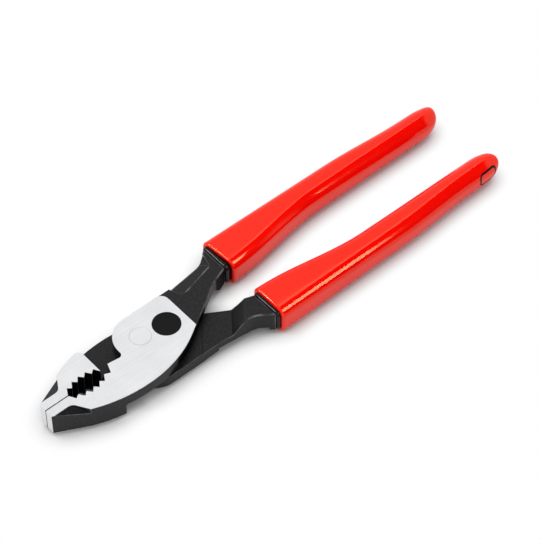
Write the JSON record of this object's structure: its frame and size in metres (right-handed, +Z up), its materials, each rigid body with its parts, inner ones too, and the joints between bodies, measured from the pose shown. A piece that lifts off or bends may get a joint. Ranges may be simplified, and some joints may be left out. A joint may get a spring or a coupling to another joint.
{
  "type": "slip joint pliers",
  "caption": "Slip joint pliers: two lapped steel levers on a sliding rivet, with toothed pipe grip, wire cutter, tapered nose and glossy dipped grips.",
  "frame": {"origin": "on the rivet axis, in the plane of the head's underside, with the jaws closed and the rivet in its narrow setting", "axes": "+X from the rivet towards the handles along the closing line of the jaws, +Y towards the upper lever's handle, +Z up out of the face with the flush rivet end"},
  "size_m": [0.209, 0.047, 0.013],
  "materials": {
    "lever_steel": "black forged, with the head's faces ground bright",
    "rivet_steel": "ground flush",
    "grip_liner": "gloss",
    "grip_red": "gloss, dipped"
  },
  "bodies": {
    "lower_lever": {"lower_lever": "lever_steel", "lower_grip_liner": "grip_liner", "lower_grip": "grip_red"},
    "pivot": {"pivot_rivet": "rivet_steel"},
    "upper_lever": {"upper_lever": "lever_steel", "upper_grip_liner": "grip_liner", "upper_grip": "grip_red"}
  },
  "joints": [
    {"name": "slip", "type": "slide", "parent": "lower_lever", "child": "pivot", "axis": [0, -1, 0], "range_m": [0, 0.0065]},
    {"name": "handles", "type": "hinge", "parent": "pivot", "child": "upper_lever", "pos_m": [0, 0, 0], "axis": [0, 0, 1], "range_deg": [0, 45]}
  ]
}
